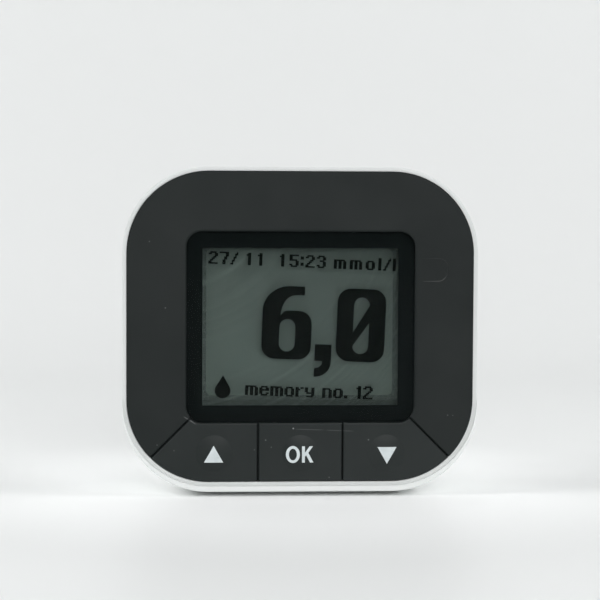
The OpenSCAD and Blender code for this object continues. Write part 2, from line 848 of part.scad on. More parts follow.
module strip_connector() {
    half = slot_w / 2 + connector_wall;
    color([0.15, 0.15, 0.16]) stand() translate([0, port_cy, 0]) difference() {
        box([connector_start, -half, board_back_z - connector_h], [connector_end, half, board_back_z]);
        box([connector_start + 1, -slot_w / 2, slot_low_z], [connector_end + 1, slot_w / 2, slot_high_z]);
        for (i = [0:finger_count - 1]) translate([0, finger_y(i), 0])
            box([connector_start - 1, -0.35, slot_low_z - 0.35], [connector_end - 2, 0.35, slot_z]);
    }
}

// Place of one contact finger across the slot
function finger_y(i) = (i - (finger_count - 1) / 2) * slot_w / finger_count;

// Side view of one contact finger: a flat tail, then a bend that stands up into the slot
module finger_profile() {
    low = slot_low_z - 0.25;
    polygon([
        [connector_start - 1.2, low], [connector_end - 4, low],
        [connector_end - 3.2, low + 0.45], [connector_end - 2.4, low + 0.1],
        [connector_end - 2.4, low + 0.1 + finger_t], [connector_end - 3.2, low + 0.45 + finger_t],
        [connector_end - 4.1, low + finger_t], [connector_start - 1.2, low + finger_t]
    ]);
}

module strip_contacts() {
    color([0.85, 0.7, 0.35]) stand() for (i = [0:finger_count - 1])
        translate([0, port_cy + finger_y(i) + finger_w / 2, 0]) rotate([90, 0, 0])
            linear_extrude(finger_w) finger_profile();
}

module strip_port() {
    color([0.85, 0.87, 0.87]) stand() translate([0, port_cy, slot_z]) difference() {
        translate([port_inner_x, 0, 0]) rotate([0, 90, 0])
            linear_extrude(port_outer_x - port_inner_x) round_rect(port_t, port_w, port_t / 2 - seat_fit);
        box([0, -slot_w / 2, -slot_t / 2], [beyond, slot_w / 2, slot_t / 2]);
        translate([port_outer_x - 0.8, 0, 0]) rotate([0, 90, 0]) linear_extrude(1)
            round_rect(slot_t + 0.8, slot_w + 0.8, 0.4);
    }
}

// AAA cell lying along X with its nub at the end that dir points to
module cell(y, dir) {
    translate([dir * cell_shift, y, cell_z]) rotate([0, dir * 90, 0]) translate([0, 0, -cell_l / 2]) {
        cylinder(r = cell_r - 0.3, h = cell_l - nub_h);
        translate([0, 0, 0.4]) cylinder(r = cell_r, h = cell_l - nub_h - 0.8);
        cylinder(r = nub_r, h = cell_l);
    }
}

module upper_battery() {
    color([0.2, 0.35, 0.55]) stand() cell(upper_cell_y, 1);
}

module lower_battery() {
    color([0.2, 0.35, 0.55]) stand() cell(lower_cell_y, -1);
}

// Sheet metal plate against the bay's end wall on the side that dir points to
module contact_plate(y, dir) {
    mirror([dir < 0 ? 1 : 0, 0, 0])
        box([bay_half - contact_t, y - contact_w / 2, cell_z - contact_w / 2],
            [bay_half, y + contact_w / 2, cell_z + contact_w / 2]);
}

// Dimple that meets a cell's nub
module contact_dimple(y, dir) {
    translate([dir * (bay_half - contact_t - dimple_h), y, cell_z]) rotate([0, dir * 90, 0])
        cylinder(r = nub_r - 0.3, h = dimple_h);
}

// Sprung bow that meets a cell's flat end
module contact_bow(y, dir) {
    translate([dir * (bay_half - contact_t), y + bow_w / 2, cell_z]) rotate([90, 0, 0]) linear_extrude(bow_w)
        intersection() {
            difference() {
                circle(bow_r);
                circle(bow_r - contact_t);
            }
            translate([dir > 0 ? -bow_r : 0, -bow_r]) square([bow_r, 2 * bow_r]);
        }
}

// Tail from a left contact through the bay's floor to the board
module contact_tail(y) {
    box([-bay_half, y - tail_w / 2, cell_z], [-bay_half + contact_t, y + tail_w / 2, board_back_z]);
}

module positive_contact() {
    color([0.8, 0.8, 0.78]) stand() {
        contact_plate(lower_cell_y, -1);
        contact_dimple(lower_cell_y, -1);
        contact_tail(lower_cell_y);
    }
}

module negative_contact() {
    color([0.8, 0.8, 0.78]) stand() {
        contact_plate(upper_cell_y, -1);
        contact_bow(upper_cell_y, -1);
        contact_tail(upper_cell_y);
    }
}

module bridge_contact() {
    color([0.8, 0.8, 0.78]) stand() {
        contact_plate(upper_cell_y, 1);
        contact_dimple(upper_cell_y, 1);
        contact_plate(lower_cell_y, 1);
        contact_bow(lower_cell_y, 1);
        box([bay_half - contact_t, lower_cell_y, cell_z - 1.5], [bay_half, upper_cell_y, cell_z + 1.5]);
    }
}

module case_screws() {
    color([0.75, 0.75, 0.77]) stand() for (spot = screw_spots) translate([spot.x, spot.y, 0]) difference() {
        union() {
            translate([0, 0, screw_seat_z - head_h]) cylinder(r = head_r, h = head_h);
            translate([0, 0, screw_seat_z]) cylinder(r = screw_r, h = screw_l);
        }
        for (turn = [0, 90]) rotate([0, 0, turn])
            box([-1.1, -0.2, screw_seat_z - head_h - 1], [1.1, 0.2, screw_seat_z - head_h + 0.7]);
    }
}

front_cover();
rear_cover();
battery_door();
up_key();
ok_key();
down_key();
up_switch_button();
ok_switch_button();
down_switch_button();
key_switches();
display_lens();
lens_border();
lcd_glass();
lcd_reflector();
lcd_frame();
lcd_connector();
main_board();
control_chip();
board_parts();
buzzer();
strip_connector();
strip_contacts();
strip_port();
upper_battery();
lower_battery();
positive_contact();
negative_contact();
bridge_contact();
case_screws();
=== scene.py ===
# Blood glucose meter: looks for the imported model. The CAD gives every form that moves or
# carries something, and this script adds prints, marks, finishes, the display's figures, the
# table, the lamps and the camera. Lengths are in metres unless a comment says millimetres.
from math import atan2, cos, hypot, pi, radians, sin

import bmesh
import bpy
from mathutils import Matrix, Vector
from mathutils.bvhtree import BVHTree


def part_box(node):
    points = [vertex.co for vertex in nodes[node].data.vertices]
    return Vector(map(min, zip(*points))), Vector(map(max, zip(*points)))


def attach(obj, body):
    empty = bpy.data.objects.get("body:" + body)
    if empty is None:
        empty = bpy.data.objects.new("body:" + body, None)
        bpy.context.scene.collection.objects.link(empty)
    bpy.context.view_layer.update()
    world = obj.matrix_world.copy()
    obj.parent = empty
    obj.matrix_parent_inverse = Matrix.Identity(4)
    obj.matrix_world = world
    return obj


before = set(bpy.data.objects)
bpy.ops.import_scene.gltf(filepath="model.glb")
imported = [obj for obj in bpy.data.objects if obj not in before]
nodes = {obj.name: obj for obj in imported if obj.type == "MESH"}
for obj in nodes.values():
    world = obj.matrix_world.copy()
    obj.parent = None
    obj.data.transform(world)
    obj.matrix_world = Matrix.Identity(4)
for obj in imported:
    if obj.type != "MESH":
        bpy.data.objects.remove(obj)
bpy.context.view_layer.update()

MM = 0.001
scene = bpy.context.scene


# ---------------------------------------------------------------- Camera
# It stands about 0.4 m away, a little left of the face's middle and a little above it.
# Turn, tilt and lens are fitted to the face's four edges in a square picture.
camera_turn = radians(3.79)
camera_tilt = radians(3.38)
camera_roll = radians(0.28)
camera_distance = 400 * MM
camera_target = Vector((0.53, 0, 37.91)) * MM
focal_pixels = 1993.8
picture_pixels = 600

camera_data = bpy.data.cameras.new("camera")
camera_data.sensor_width = 36
camera_data.lens = camera_data.sensor_width * focal_pixels / picture_pixels
camera_data.clip_start = 0.01
camera = bpy.data.objects.new("camera", camera_data)
scene.collection.objects.link(camera)
looking = Vector((sin(camera_turn) * cos(camera_tilt),
                  cos(camera_turn) * cos(camera_tilt), -sin(camera_tilt)))
level_right = Vector((cos(camera_turn), -sin(camera_turn), 0))
level_up = level_right.cross(looking)
rolled_right = level_right * cos(camera_roll) + level_up * sin(camera_roll)
rolled_up = level_up * cos(camera_roll) - level_right * sin(camera_roll)
camera_axes = Matrix((rolled_right, rolled_up, -looking)).transposed().to_4x4()
camera.matrix_world = Matrix.Translation(camera_target - looking * camera_distance) @ camera_axes
scene.camera = camera
scene.view_settings.view_transform = "Standard"


# ---------------------------------------------------------------- Table and sweep
# A white table that bends up into a backdrop close behind the meter, as one seamless sheet.
# It is painted a little whiter round the meter: painted light that lifts the shade near it.
def make_material(name, color, roughness, **sockets):
    material = bpy.data.materials.new(name)
    material.use_nodes = True
    shader = material.node_tree.nodes["Principled BSDF"]
    shader.inputs["Base Color"].default_value = (*color, 1)
    shader.inputs["Roughness"].default_value = roughness
    for socket, value in sockets.items():
        shader.inputs[socket.replace("_", " ")].default_value = value
    return material, material.node_tree, shader


def new_object(name, mesh):
    piece = bpy.data.objects.new(name, mesh)
    scene.collection.objects.link(piece)
    return piece


def sweep_sheet(name, width, front, back, bend, height, steps):
    """Table from front to back that bends up, with the bend's radius, into a wall."""
    section = [(front, 0.0)]
    section += [(back - bend + bend * sin(a), bend - bend * cos(a))
                for a in (pi / 2 * i / steps for i in range(steps + 1))]
    section.append((back, height))
    shape = bmesh.new()
    rows = [[shape.verts.new((side * width / 2, y, z)) for side in (-1, 1)] for y, z in section]
    for low, high in zip(rows, rows[1:]):
        shape.faces.new((low[0], low[1], high[1], high[0]))
    mesh = bpy.data.meshes.new(name)
    shape.to_mesh(mesh)
    shape.free()
    mesh.polygons.foreach_set("use_smooth", [True] * len(mesh.polygons))
    return new_object(name, mesh)


table = sweep_sheet("table", width=3.0, front=-0.9, back=0.42, bend=0.2, height=1.5, steps=24)
# The whiter colour near the meter is painted light; the plain white lies further off
painted_light_white, plain_white = (0.97, 0.98, 0.975), (0.775, 0.785, 0.78)
painted_light_radius, plain_radius = 0.03, 0.085
table_material, table_tree, table_shader = make_material(
    "table_white", plain_white, 0.45, Specular_IOR_Level=0.25)
table_place = table_tree.nodes.new("ShaderNodeTexCoord")
table_distance = table_tree.nodes.new("ShaderNodeVectorMath")
table_distance.operation = "LENGTH"
painted_light_ramp = table_tree.nodes.new("ShaderNodeValToRGB")
painted_light_ramp.color_ramp.interpolation = "EASE"
table_stops = painted_light_ramp.color_ramp.elements
table_stops[0].position, table_stops[0].color = painted_light_radius, (*painted_light_white, 1)
table_stops[1].position, table_stops[1].color = plain_radius, (*plain_white, 1)
table_tree.links.new(table_place.outputs["Object"], table_distance.inputs[0])
table_tree.links.new(table_distance.outputs["Value"], painted_light_ramp.inputs["Fac"])
table_tree.links.new(painted_light_ramp.outputs["Color"], table_shader.inputs["Base Color"])
table.data.materials.append(table_material)


# ---------------------------------------------------------------- Lamps
# A soft lamp on each side, as beside a product table, and a third one over the camera. The
# world is a weak light that is darker behind the camera. Seen directly, past the table's
# edge, it is as white as the backdrop.
def area_lamp(name, place, aim, size, watts):
    data = bpy.data.lights.new(name, "AREA")
    data.shape = "SQUARE"
    data.size = size
    data.energy = watts
    lamp = bpy.data.objects.new(name, data)
    lamp.location = place
    lamp.rotation_euler = (Vector(aim) - Vector(place)).to_track_quat("-Z", "Y").to_euler()
    scene.collection.objects.link(lamp)


lamp_size = 0.4
area_lamp("left_lamp", (-0.7, -0.1, 0.5), (0, 0, 0.01), lamp_size, 4.0)
area_lamp("right_lamp", (0.7, -0.1, 0.5), (0, 0, 0.01), lamp_size, 3.3)
area_lamp("front_lamp", (0.1, -0.9, 0.38), (0, 0, 0.02), lamp_size, 3.4)

world_front, world_back, world_seen = 0.2, 0.42, 0.84
world = bpy.data.worlds.new("studio")
scene.world = world
world.use_nodes = True
world_tree = world.node_tree
background = world_tree.nodes["Background"]
direction = world_tree.nodes.new("ShaderNodeTexCoord")
direction_axes = world_tree.nodes.new("ShaderNodeSeparateXYZ")
front_to_back = world_tree.nodes.new("ShaderNodeMapRange")
front_to_back.inputs["From Min"].default_value = -1
front_to_back.inputs["From Max"].default_value = 0.3
front_to_back.inputs["To Min"].default_value = world_front
front_to_back.inputs["To Max"].default_value = world_back
world_tree.links.new(direction.outputs["Generated"], direction_axes.inputs["Vector"])
world_tree.links.new(direction_axes.outputs["Y"], front_to_back.inputs["Value"])
seen_directly = world_tree.nodes.new("ShaderNodeLightPath")
backdrop_level = world_tree.nodes.new("ShaderNodeMix")
backdrop_level.inputs["B"].default_value = world_seen
world_tree.links.new(seen_directly.outputs["Is Camera Ray"], backdrop_level.inputs["Factor"])
world_tree.links.new(front_to_back.outputs["Result"], backdrop_level.inputs["A"])
world_tree.links.new(backdrop_level.outputs["Result"], background.inputs["Strength"])
background.inputs["Color"].default_value = (0.96, 0.98, 1, 1)


# ---------------------------------------------------------------- Face and keys
# Moulded plastic with a soft-touch coat: near black, matte, finely grained, and shinier where
# fingers rub the domes. The keys are from the same batch and share the finish, but their colour
# is painted a little lighter: painted light, as the face is lit more towards its lower edge.
def add_node(tree, kind, **values):
    node = tree.nodes.new(kind)
    for name, value in values.items():
        setattr(node, name, value)
    return node


def object_noise(tree, scale, detail=2.0, stretch=(1, 1, 1)):
    """Smooth random values over the piece, mostly from 0.3 to 0.7."""
    place = add_node(tree, "ShaderNodeTexCoord")
    mapping = add_node(tree, "ShaderNodeMapping")
    mapping.inputs["Scale"].default_value = stretch
    noise = add_node(tree, "ShaderNodeTexNoise")
    noise.inputs["Scale"].default_value = scale
    noise.inputs["Detail"].default_value = detail
    tree.links.new(place.outputs["Object"], mapping.inputs["Vector"])
    tree.links.new(mapping.outputs["Vector"], noise.inputs["Vector"])
    return noise.outputs["Fac"]


def map_range(tree, source, from_low, from_high, to_low, to_high):
    node = add_node(tree, "ShaderNodeMapRange")
    for name, value in (("From Min", from_low), ("From Max", from_high),
                        ("To Min", to_low), ("To Max", to_high)):
        node.inputs[name].default_value = value
    tree.links.new(source, node.inputs["Value"])
    return node.outputs["Result"]


def blend_colors(tree, factor, low, high):
    """Mix of two colours or sockets by a factor socket."""
    node = add_node(tree, "ShaderNodeMix", data_type="RGBA")
    tree.links.new(factor, node.inputs["Factor"])
    for name, value in (("A", low), ("B", high)):
        socket = [s for s in node.inputs if s.name == name and s.type == "RGBA"][0]
        if isinstance(value, tuple):
            socket.default_value = (*value, 1)
        else:
            tree.links.new(value, socket)
    return [s for s in node.outputs if s.type == "RGBA"][0]


def feed(shader, socket, source):
    """Links a source to one of the shader's sockets."""
    shader.id_data.links.new(source, shader.inputs[socket])


def add_bump(tree, shader, height, strength, distance):
    bump = add_node(tree, "ShaderNodeBump")
    bump.inputs["Strength"].default_value = strength
    bump.inputs["Distance"].default_value = distance
    tree.links.new(height, bump.inputs["Height"])
    feed(shader, "Normal", bump.outputs["Normal"])


def combine(tree, operation, first, second=0):
    """Maths node on one or two sockets or numbers."""
    node = add_node(tree, "ShaderNodeMath", operation=operation)
    for socket, value in zip(node.inputs, (first, second)):
        if isinstance(value, (int, float)):
            socket.default_value = value
        else:
            tree.links.new(value, socket)
    return node.outputs["Value"]


def dust_specks(tree, spacing, radius, share):
    """1 on small round specks, 0 elsewhere: a speck in a share of the cells of a pattern."""
    place = add_node(tree, "ShaderNodeTexCoord")
    cells = add_node(tree, "ShaderNodeTexVoronoi")
    cells.inputs["Scale"].default_value = 1 / spacing
    tree.links.new(place.outputs["Object"], cells.inputs["Vector"])
    channels = add_node(tree, "ShaderNodeSeparateColor")
    tree.links.new(cells.outputs["Color"], channels.inputs["Color"])
    chosen = combine(tree, "LESS_THAN", channels.outputs["Red"], share)
    near = combine(tree, "LESS_THAN", cells.outputs["Distance"], radius / spacing)
    return combine(tree, "MULTIPLY", chosen, near)


def near_point(tree, x, z, radius, softness):
    """1 within a radius of a point on the face, 0 outside, with a soft edge."""
    place = add_node(tree, "ShaderNodeTexCoord")
    flat = add_node(tree, "ShaderNodeVectorMath", operation="MULTIPLY")
    flat.inputs[1].default_value = (1, 0, 1)
    apart = add_node(tree, "ShaderNodeVectorMath", operation="DISTANCE")
    apart.inputs[1].default_value = (x, 0, z)
    tree.links.new(place.outputs["Object"], flat.inputs[0])
    tree.links.new(flat.outputs["Vector"], apart.inputs[0])
    return map_range(tree, apart.outputs["Value"], radius - softness, radius + softness, 1, 0)


def light_line(tree, start, end, width):
    """1 along a thin straight line from one point of the face to another."""
    place = add_node(tree, "ShaderNodeTexCoord")
    turned = add_node(tree, "ShaderNodeMapping", vector_type="TEXTURE")
    turned.inputs["Location"].default_value = (start[0], 0, start[1])
    turned.inputs["Rotation"].default_value = (0, -atan2(end[1] - start[1], end[0] - start[0]), 0)
    parts = add_node(tree, "ShaderNodeSeparateXYZ")
    tree.links.new(place.outputs["Object"], turned.inputs["Vector"])
    tree.links.new(turned.outputs["Vector"], parts.inputs["Vector"])
    length = hypot(end[0] - start[0], end[1] - start[1])
    from_middle = combine(tree, "SUBTRACT", parts.outputs["X"], length / 2)
    off_middle = combine(tree, "ABSOLUTE", from_middle)
    inside = map_range(tree, off_middle, length * 0.3, length * 0.5, 1, 0)
    off_line = combine(tree, "ABSOLUTE", parts.outputs["Z"])
    return combine(tree, "MULTIPLY", inside, map_range(tree, off_line, 0, width, 1, 0))


def soft_touch(name, dark, light, marks, polished=()):
    """Matte coat with light marks and a painted highlight, and with domes at the polished points
    (x, z).
    """
    material, tree, shader = make_material(name, dark, 0.5, Specular_IOR_Level=0.2)
    clouds = map_range(tree, object_noise(tree, 60, 3), 0.35, 0.65, 0, 1)
    base = blend_colors(tree, clouds, dark, light)
    specks = dust_specks(tree, spacing=5 * MM, radius=0.09 * MM, share=0.35)
    wear_and_highlight = combine(tree, "MULTIPLY", specks, dust_strength)
    for x, z, radius, strength in marks:
        spot = near_point(tree, x * MM, face_low_z + z * MM, radius * MM, speck_softness)
        wear_and_highlight = combine(tree, "MAXIMUM", wear_and_highlight, combine(tree, "MULTIPLY", spot, strength))
    for start_x, start_z, end_x, end_z, strength in scratches_and_highlight:
        start = (start_x * MM, face_low_z + start_z * MM)
        end = (end_x * MM, face_low_z + end_z * MM)
        line = light_line(tree, start, end, light_line_width)
        wear_and_highlight = combine(tree, "MAXIMUM", wear_and_highlight, combine(tree, "MULTIPLY", line, strength))
    # Dust, scratches and the painted highlight at the window corner turn the coat light grey
    feed(shader, "Base Color", blend_colors(tree, wear_and_highlight, base, wear_and_highlight_grey))
    rough = map_range(tree, object_noise(tree, 90, 2), 0.3, 0.7, 0.46, 0.56)
    for x, z in polished:
        dome = near_point(tree, x, z, dome_radius, 0.3 * MM)
        rough = combine(tree, "SUBTRACT", rough, combine(tree, "MULTIPLY", dome, polish))
    feed(shader, "Roughness", rough)
    add_bump(tree, shader, object_noise(tree, 5200, 1), 0.12, 0.03 * MM)
    return material


def dress(node, material):
    """Gives a CAD node its finish."""
    mesh = nodes[node].data
    if not mesh.materials:
        mesh.materials.append(material)
    for index in range(len(mesh.materials)):
        mesh.materials[index] = material


def dome_center(key):
    """Place of a key's dome, whose top is the key's foremost point."""
    top = min(nodes[key].data.vertices, key=lambda v: v.co.y).co
    return top.x, top.z


face_low_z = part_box("front_cover")[0].z
keys = ("up_key", "ok_key", "down_key")
dome_radius = 3.6 * MM
polish = 0.08
wear_and_highlight_grey = (0.3, 0.31, 0.31)
dust_strength = 0.3
speck_softness = 0.05 * MM
light_line_width = 0.12 * MM
# Scratches and painted highlights as (start x, start z, end x, end z, strength) and specks as
# (x, z, radius, strength), in millimetres from the face's middle and lower edge
scratches_and_highlight = (
    (-1.4, 10.35, 5.0, 10.15, 0.16), (4.7, 10.15, 10.7, 9.9, 0.17),
    # The next two lines are no scratches but a painted highlight on the lip at the window's lower
    # left corner
    (-22.9, 12.9, -20.8, 11.6, 0.42), (-21.9, 12.3, -20.4, 11.3, 0.36),
)
face_specks = (
    (-28.0, 7.3, 0.13, 0.2), (-28.3, 5.1, 0.12, 0.22), (-29.5, 47.0, 0.13, 0.22),
    (-26.4, 34.1, 0.12, 0.35), (29.0, 13.0, 0.13, 0.25),
)
key_specks = (
    (-1.4, 10.48, 0.14, 0.85), (-6.8, 8.2, 0.13, 0.3), (-5.7, 6.8, 0.12, 0.2),
    (-24.7, 6.2, 0.13, 0.18), (-9.0, 6.3, 0.13, 0.18), (13.4, 8.2, 0.14, 0.3),
    (5.7, 0.8, 0.12, 0.3),
)
dress("front_cover", soft_touch(
    "face_coat", (0.0082, 0.0115, 0.0112), (0.012, 0.0155, 0.015), face_specks))
# The keys' colour is painted lighter than the face's: painted light for the lower part of the face
key_coat = soft_touch(
    "key_coat", (0.0138, 0.018, 0.0175), (0.0185, 0.0228, 0.0222), key_specks,
    [dome_center(key) for key in keys])
for key in keys:
    dress(key, key_coat)


# ---------------------------------------------------------------- Prints on the keys
# White pad prints on the keys' domes: two triangles and two letters. Each print is a thin
# skin that follows the dome under it and goes in with its key.
def front_depth(node):
    """Function that gives the Y of a CAD node's front at a given X and Z."""
    mesh = nodes[node].data
    faces = BVHTree.FromPolygons([v.co for v in mesh.vertices],
                                 [tuple(p.vertices) for p in mesh.polygons])
    before_it = -0.1
    return lambda x, z: faces.ray_cast(Vector((x, before_it, z)), Vector((0, 1, 0)))[0].y


def arc(center, radius_x, radius_y, start, end, steps=12):
    """Points of an elliptic arc, angles in degrees."""
    turns = (radians(start + (end - start) * i / steps) for i in range(steps + 1))
    return [(center[0] + radius_x * cos(t), center[1] + radius_y * sin(t)) for t in turns]


def flat_shape(name, outlines):
    """Flat mesh in the X-Z plane from closed outlines; an outline inside another is a hole."""
    curve = bpy.data.curves.new(name, "CURVE")
    curve.dimensions = "2D"
    curve.fill_mode = "BOTH"
    for outline in outlines:
        line = curve.splines.new("POLY")
        line.points.add(len(outline) - 1)
        for point, (x, z) in zip(line.points, outline):
            point.co = (x, z, 0, 1)
        line.use_cyclic_u = True
    holder = bpy.data.objects.new(name, curve)
    mesh = bpy.data.meshes.new_from_object(holder)
    bpy.data.objects.remove(holder)
    bpy.data.curves.remove(curve)
    mesh.transform(Matrix.Rotation(pi / 2, 4, "X"))
    return mesh


def cut_grid(shape, spacing):
    """Cuts a flat shape along a square grid, so that it can follow a curved surface."""
    for axis in (0, 2):
        low = min(v.co[axis] for v in shape.verts)
        high = max(v.co[axis] for v in shape.verts)
        normal = Vector((1, 0, 0)) if axis == 0 else Vector((0, 0, 1))
        for i in range(1, int((high - low) / spacing) + 1):
            place = Vector((0, 0, 0))
            place[axis] = low + i * spacing
            bmesh.ops.bisect_plane(shape, geom=shape.verts[:] + shape.edges[:] + shape.faces[:],
                                   plane_co=place, plane_no=normal)


def solid_skin(shape, thickness):
    """Turns a sheet that faces the front into a closed skin, with its back at the sheet."""
    bmesh.ops.recalc_face_normals(shape, faces=shape.faces[:])
    if sum(f.normal.y * f.calc_area() for f in shape.faces) > 0:
        bmesh.ops.reverse_faces(shape, faces=shape.faces[:])
    back = bmesh.ops.duplicate(shape, geom=shape.faces[:])
    rear_faces = [f for f in back["geom"] if isinstance(f, bmesh.types.BMFace)]
    rear_verts = {v for f in rear_faces for v in f.verts}
    pairs = back["vert_map"]
    front_edges = [e for e in shape.edges
                   if len(e.link_faces) == 1 and e.verts[0] not in rear_verts]
    for vert in rear_verts:
        vert.co.y += thickness
    bmesh.ops.reverse_faces(shape, faces=rear_faces)
    for edge in front_edges:
        a, b = edge.verts
        if edge.link_loops[0].vert is not a:
            a, b = b, a
        shape.faces.new((b, a, pairs[a], pairs[b]))


def printed_skin(name, outlines, place, under, material):
    """Thin print in the given outlines (millimetres from its place) on a CAD node's front."""
    proud, sunk, grid = 0.015 * MM, 0.03 * MM, 0.45 * MM
    mesh = flat_shape(name, outlines)
    mesh.transform(Matrix.Translation(Vector((place[0], 0, place[1]))) @ Matrix.Scale(MM, 4))
    shape = bmesh.new()
    shape.from_mesh(mesh)
    bmesh.ops.remove_doubles(shape, verts=shape.verts[:], dist=1e-7)
    cut_grid(shape, grid)
    depth = front_depth(under)
    for vert in shape.verts:
        vert.co.y = depth(vert.co.x, vert.co.z) - proud
    solid_skin(shape, proud + sunk)
    shape.to_mesh(mesh)
    shape.free()
    mesh.materials.append(material)
    return new_object(name, mesh)


thin_ink, full_ink = (0.58, 0.635, 0.645), (0.7, 0.755, 0.765)
ink, ink_tree, ink_shader = make_material("key_ink", full_ink, 0.5, Specular_IOR_Level=0.4)
patchy = map_range(ink_tree, object_noise(ink_tree, 700, 3), 0.3, 0.7, 0, 1)
feed(ink_shader, "Base Color", blend_colors(ink_tree, patchy, thin_ink, full_ink))
add_bump(ink_tree, ink_shader, object_noise(ink_tree, 4000, 1), 0.1, 0.02 * MM)

# Outlines in millimetres from the middle of the print
triangle_half, triangle_rise = 1.88, 1.66
triangle = [(-triangle_half, -triangle_rise), (triangle_half, -triangle_rise), (0, triangle_rise)]
o_middle = (-1.42, 0)
letter_o = [arc(o_middle, 1.37, 1.68, 0, 360, 40)[:-1],
            arc(o_middle, 0.77, 1.15, 0, 360, 32)[:-1]]
k_rise = 1.61
letter_k = [(0.36, -k_rise), (0.94, -k_rise), (0.94, -0.44), (1.17, -0.17),
            (1.96, -k_rise), (2.64, -k_rise), (1.6, 0.32), (2.52, k_rise),
            (1.86, k_rise), (0.94, 0.35), (0.94, k_rise), (0.36, k_rise)]

# The pad sat slightly turned, so the prints drop by a hair from left to right: each is put
# aside and up, in millimetres, from its dome's middle and the prints' common height
print_height = face_low_z + 5.35 * MM
prints = (
    ("up_print", [triangle], "up_key", (-0.08, 0.16)),
    ("ok_print", letter_o + [letter_k], "ok_key", (-0.05, 0.03)),
    ("down_print", [[(x, -z) for x, z in triangle]], "down_key", (0.13, -0.22)),
)
for name, outlines, key, (aside, up) in prints:
    place = (dome_center(key)[0] + aside * MM, print_height + up * MM)
    skin = printed_skin(name, outlines, place, key, ink)
    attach(skin, key)


# ---------------------------------------------------------------- Strip mark
# A fine rib moulded on the face beside the window. It outlines the end of a test strip, open
# to the left, and shows where the strip goes in.
def swept_rib(name, path, under, width, height, material, sides=8):
    """Half-round rib along a path of (x, z) points on a CAD node's front."""
    depth = front_depth(under)
    shape = bmesh.new()
    rings = []
    for i, (x, z) in enumerate(path):
        before, after = path[max(0, i - 1)], path[min(len(path) - 1, i + 1)]
        along = Vector((after[0] - before[0], 0, after[1] - before[1])).normalized()
        across = Vector((along.z, 0, -along.x))
        y = depth(x, z)
        taper = 0.25 if i in (0, len(path) - 1) else 1.0
        ring = []
        for k in range(sides + 1):
            turn = pi * k / sides
            offset = across * (width / 2 * cos(turn) * taper)
            ring.append(shape.verts.new(Vector((x, y - height * sin(turn) * taper, z)) + offset))
        sunk = Vector((0, height, 0))
        ring.append(shape.verts.new(ring[-1].co + sunk))
        ring.append(shape.verts.new(ring[0].co + sunk))
        rings.append(ring)
    for low, high in zip(rings, rings[1:]):
        for k in range(len(low)):
            n = (k + 1) % len(low)
            shape.faces.new((low[k], low[n], high[n], high[k]))
    shape.faces.new(rings[0][::-1])
    shape.faces.new(rings[-1])
    bmesh.ops.recalc_face_normals(shape, faces=shape.faces[:])
    mesh = bpy.data.meshes.new(name)
    shape.to_mesh(mesh)
    shape.free()
    mesh.materials.append(material)
    return new_object(name, mesh)


def object_axis(tree, axis):
    """Place on the piece along one axis."""
    place = add_node(tree, "ShaderNodeTexCoord")
    axes = add_node(tree, "ShaderNodeSeparateXYZ")
    tree.links.new(place.outputs["Object"], axes.inputs["Vector"])
    return axes.outputs[axis]


mark_left = 23.9 * MM
mark_bend = 26.9 * MM
mark_right = 28.85 * MM
mark_low = face_low_z + 39.36 * MM
mark_high = face_low_z + 43.86 * MM
mark_mid = (mark_low + mark_high) / 2
rib_width, rib_height = 0.2 * MM, 0.06 * MM
mark_path = [(mark_left, mark_high)]
mark_path += arc((mark_bend, mark_mid), mark_right - mark_bend, mark_high - mark_mid, 90, -90, 28)
mark_path.append((mark_left, mark_low))
# The rib is painted lighter along the mark's lower line: a painted highlight
rib_dark, rib_painted_highlight = (0.012, 0.0145, 0.0145), (0.045, 0.047, 0.046)
rib_coat, rib_tree, rib_shader = make_material("rib_coat", rib_dark, 0.42, Specular_IOR_Level=0.25)
rib_marks = object_noise(rib_tree, 900)
feed(rib_shader, "Roughness", map_range(rib_tree, rib_marks, 0.3, 0.7, 0.36, 0.48))
painted_highlight_band = map_range(rib_tree, object_axis(rib_tree, "Z"),
                   mark_low + 0.3 * MM, mark_low + 0.9 * MM, 1, 0)
feed(rib_shader, "Base Color", blend_colors(rib_tree, painted_highlight_band, rib_dark, rib_painted_highlight))
strip_mark = swept_rib("strip_mark", mark_path, "front_cover", rib_width, rib_height, rib_coat)
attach(strip_mark, "case")


# ---------------------------------------------------------------- Window
# A clear acrylic lens dropped into its seat, with a near black border printed on its back.
# Its anti-glare coat reflects little, so its index is low. Lamp light goes straight through.
lens_clear, lens_tree, lens_shader = make_material(
    "lens_acrylic", (0.97, 0.985, 0.98), 0.03, IOR=1.09, Transmission_Weight=1.0)
add_bump(lens_tree, lens_shader, object_noise(lens_tree, 130, 1), 0.02, 0.02 * MM)
lens_path = add_node(lens_tree, "ShaderNodeLightPath")
lens_pass = add_node(lens_tree, "ShaderNodeBsdfTransparent")
lens_pass.inputs["Color"].default_value = (0.95, 0.965, 0.96, 1)
lens_mix = add_node(lens_tree, "ShaderNodeMixShader")
lens_out = lens_tree.nodes["Material Output"]
lamp_light = combine(lens_tree, "MAXIMUM", lens_path.outputs["Is Shadow Ray"],
                     lens_path.outputs["Is Diffuse Ray"])
lens_tree.links.new(lamp_light, lens_mix.inputs["Fac"])
lens_tree.links.new(lens_shader.outputs["BSDF"], lens_mix.inputs[1])
lens_tree.links.new(lens_pass.outputs["BSDF"], lens_mix.inputs[2])
lens_tree.links.new(lens_mix.outputs["Shader"], lens_out.inputs["Surface"])
dress("display_lens", lens_clear)


def mottled(name, low, high, roughness, scale, detail=2, **sockets):
    """Material whose colour wanders a little between two tones."""
    material, tree, shader = make_material(name, low, roughness, **sockets)
    tones = blend_colors(tree, object_noise(tree, scale, detail), low, high)
    feed(shader, "Base Color", tones)
    return material, tree, shader


